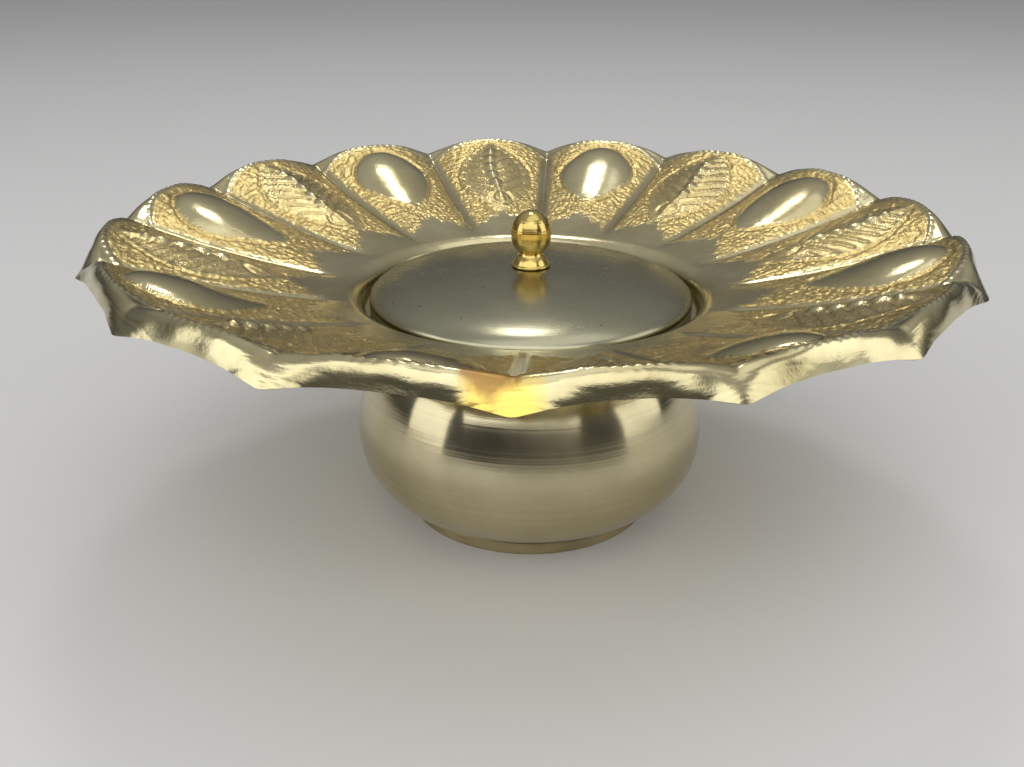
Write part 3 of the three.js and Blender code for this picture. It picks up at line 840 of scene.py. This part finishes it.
RING_OUTER, RING_WALL, RING_BOTTOM, SOLDER_GAP = 27.4, 0.8, 42.1, 0.3
ring_top = dome_height(RING_OUTER) - 1.2 * LID_SHEET - SOLDER_GAP
locating_ring = turned("lid_locating_band", section_of(
    (RING_OUTER - RING_WALL, RING_BOTTOM, 0.15),
    (RING_OUTER - 0.15, RING_BOTTOM, 0.15),
    (RING_OUTER, RING_BOTTOM + 0.5, 0.3),
    (RING_OUTER, ring_top, 0.15),
    (RING_OUTER - RING_WALL, ring_top, 0.15),
))
stands_for(locating_ring, "lid_locating_ring", "lid", inner_brass)

# ---- Knob, washer and nut ----------------------------------------------------------------------------
# The knob is turned from one bar of bright yellow brass and lacquered: a ball, a waisted neck, a flared
# collar, and below the lid a stud. A washer and a six-sided nut pull it tight on the lid.

KNOB_SEAT = 55.8
BALL, BALL_HALF_HEIGHT, BALL_NECK, BALL_STEPS = 4.35, 5.1, 2.6, 40
COLLAR_RADIUS, COLLAR_HEIGHT = 4.3, 2.9
STUD, STUD_END = 1.7, 50.3
ball_middle = KNOB_SEAT + COLLAR_HEIGHT + BALL_HALF_HEIGHT * math.sqrt(1 - (BALL_NECK / BALL) ** 2)
knob_line = section_of(
    (0, STUD_END, 0),
    (STUD - 0.3, STUD_END, 0.2),
    (STUD, STUD_END + 0.4, 0.2),
    (STUD, KNOB_SEAT, 0),
    (COLLAR_RADIUS - 0.1, KNOB_SEAT, 0.15),
    (COLLAR_RADIUS, KNOB_SEAT + 0.35, 0.35),
    (COLLAR_RADIUS - 0.35, KNOB_SEAT + 0.62, 0.15),
    (COLLAR_RADIUS - 0.45, KNOB_SEAT + 0.85, 0.2),
    (BALL_NECK + 0.75, KNOB_SEAT + 1.75, 0.6),
    (BALL_NECK + 0.1, KNOB_SEAT + 2.45, 0.35),
    (BALL_NECK - 0.05, KNOB_SEAT + COLLAR_HEIGHT, 0),
    closed=False,
)
neck_lean = math.pi - math.asin(BALL_NECK / BALL)
for step in range(1, BALL_STEPS + 1):
    lean = neck_lean * (1 - step / BALL_STEPS)
    knob_line.append(Vector((BALL * math.sin(lean), ball_middle + BALL_HALF_HEIGHT * math.cos(lean))))
knob_line[-1].x = 0
knob = turned("knob_ball", knob_line, steps=128, sharp=45)
knob_brass = brass("knob_brass", bright=(0.69, 0.52, 0.165), dull=(0.61, 0.44, 0.12), roughness=0.12,
                   line_pitch=0.0005, line_depth=0.00004, lines_along="height", patch_size=0.006, stretch=0.1,
                   line_shade=0.1)
knob_shader = knob_brass.node_tree.nodes["Principled BSDF"]
knob_shader.inputs["Coat Weight"].default_value = 0.3
knob_shader.inputs["Coat Roughness"].default_value = 0.08
stands_for(knob, "knob_finial", "lid", knob_brass)

FASTENER_BORE = 2.0
fastener_brass = brass("fastener_brass", bright=(0.70, 0.55, 0.27), dull=(0.46, 0.34, 0.14), roughness=0.28,
                       line_pitch=0.0007, line_depth=0.00004, lines_along="radius", patch_size=0.005)
WASHER_RADIUS, WASHER_LOW, WASHER_HIGH = 4.4, 53.9, 54.6
washer = turned("knob_washer_disc", section_of(
    (FASTENER_BORE, WASHER_LOW, 0.1),
    (WASHER_RADIUS, WASHER_LOW, 0.25),
    (WASHER_RADIUS, WASHER_HIGH, 0.25),
    (FASTENER_BORE, WASHER_HIGH, 0.1),
), steps=96)
stands_for(washer, "knob_washer", "lid", fastener_brass)

NUT_FLATS, NUT_LOW, NUT_HIGH, NUT_CHAMFER = 6.6, 51.2, 53.6, 0.3


def hexagon_nut():
    """Six flats with turned-off corners, and a round bore."""
    around = 96
    angles = np.arange(around) * 2 * math.pi / around
    from_corner = np.abs((angles + math.pi / 6) % (math.pi / 3) - math.pi / 6)
    flats = NUT_FLATS / 2 / np.cos(math.pi / 6 - from_corner)
    corner = NUT_FLATS / math.sqrt(3)
    bore = np.full(around, FASTENER_BORE)
    end_face, side = np.minimum(flats, 0.90 * corner), np.minimum(flats, 0.985 * corner)
    levels = [
        (bore, NUT_LOW),
        (end_face, NUT_LOW),
        (side, NUT_LOW + NUT_CHAMFER),
        (side, NUT_HIGH - NUT_CHAMFER),
        (end_face, NUT_HIGH),
        (bore, NUT_HIGH),
    ]
    points = np.vstack([
        np.stack([reach * np.cos(angles), reach * np.sin(angles), np.full(around, height)], axis=-1)
        for reach, height in levels
    ])
    faces = []
    for i in range(len(levels)):
        a, b = i * around, (i + 1) % len(levels) * around
        faces += [(a + k, a + (k + 1) % around, b + (k + 1) % around, b + k) for k in range(around)]
    return finished_mesh("knob_hex_nut", points, faces, sharp=25)


stands_for(hexagon_nut(), "knob_nut", "lid", fastener_brass)
